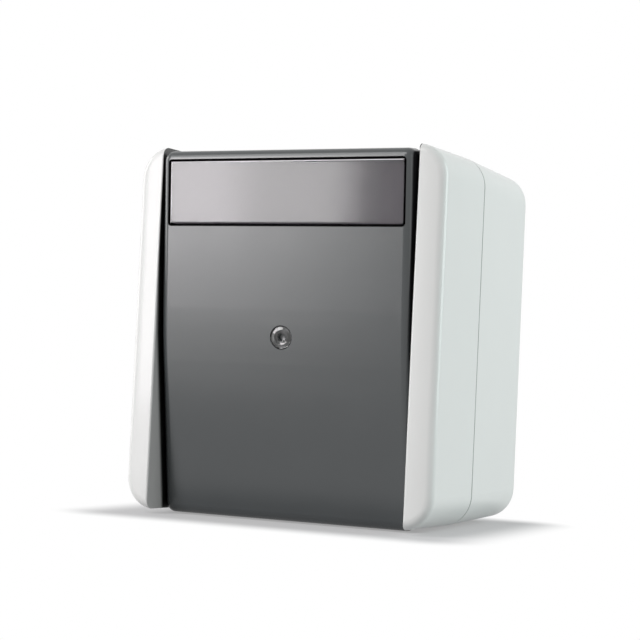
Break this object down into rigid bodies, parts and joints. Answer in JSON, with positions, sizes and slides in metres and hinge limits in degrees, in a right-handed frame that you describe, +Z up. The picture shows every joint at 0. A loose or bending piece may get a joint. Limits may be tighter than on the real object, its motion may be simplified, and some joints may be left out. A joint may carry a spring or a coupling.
{
  "type": "surface-mounted weatherproof rocker switch",
  "caption": "Surface-mounted outdoor light switch: grey splash-proof housing with side cheeks, and a dark full-height rocker with a label field and an indicator lens.",
  "frame": {"origin": "middle of the flat back face, where the switch meets the wall", "axes": "+X to the right seen from the front, +Y into the wall, +Z up; the rocker faces -Y"},
  "size_m": [0.068, 0.0514, 0.0754],
  "materials": {
    "housing_plastic": "smooth, slightly glossy",
    "rocker_plastic": "fine satin",
    "clear_plastic": "clear, polished",
    "label_paper": "plain, unprinted",
    "white_plastic": "as moulded",
    "insert_plastic": "as moulded",
    "black_rubber": "matt",
    "grey_rubber": "matt",
    "clear_rubber": "translucent, matt",
    "screw_steel": "zinc plated",
    "spring_steel": "plain",
    "plate_steel": "zinc plated",
    "contact_brass": "plain",
    "contact_silver": "plain",
    "lamp_glass": "clear"
  },
  "bodies": {
    "housing": {"base_box": "housing_plastic", "cover_frame": "housing_plastic", "housing_gasket": "black_rubber", "cable_grommets": "grey_rubber", "sealing_boot": "clear_rubber", "support_plate": "plate_steel", "plate_screws": "screw_steel", "insert_body": "insert_plastic", "fixed_contact_tips": "contact_silver", "left_line_terminal": "contact_brass", "right_line_terminal": "contact_brass", "left_load_terminal": "contact_brass", "right_load_terminal": "contact_brass", "wire_clamp_springs": "spring_steel", "lamp_holder": "white_plastic", "pilot_lamp": "lamp_glass"},
    "rocker": {"rocker": "rocker_plastic", "label_card": "label_paper", "label_window": "clear_plastic", "indicator_lens": "clear_plastic", "drive_fork": "white_plastic", "left_plunger_spring": "spring_steel", "right_plunger_spring": "spring_steel"},
    "left_plunger": {"left_plunger": "white_plastic"},
    "right_plunger": {"right_plunger": "white_plastic"},
    "contacts": {"left_contact_seesaw": "contact_brass", "right_contact_seesaw": "contact_brass", "moving_contact_tips": "contact_silver"}
  },
  "joints": [
    {"name": "rocker_tilt", "type": "hinge", "parent": "housing", "child": "rocker", "pos_m": [0, -0.038, 0], "axis": [-1, 0, 0], "range_deg": [0, 12.4]},
    {"name": "left_plunger_slide", "type": "slide", "parent": "rocker", "child": "left_plunger", "axis": [0, 0.9942, 0.108], "range_m": [-0.001, 0], "stiffness_N_per_m": 300, "deforming": ["left_plunger_spring"]},
    {"name": "right_plunger_slide", "type": "slide", "parent": "rocker", "child": "right_plunger", "axis": [0, 0.9942, 0.108], "range_m": [-0.001, 0], "stiffness_N_per_m": 300, "deforming": ["right_plunger_spring"]},
    {"name": "contact_seesaw_tilt", "type": "hinge", "parent": "housing", "child": "contacts", "pos_m": [0, -0.015, 0], "axis": [1, 0, 0], "range_deg": [0, 12]}
  ],
  "couplings": [
    {"joint": "contact_seesaw_tilt", "follows": "rocker_tilt", "ratio": 0.9677}
  ]
}
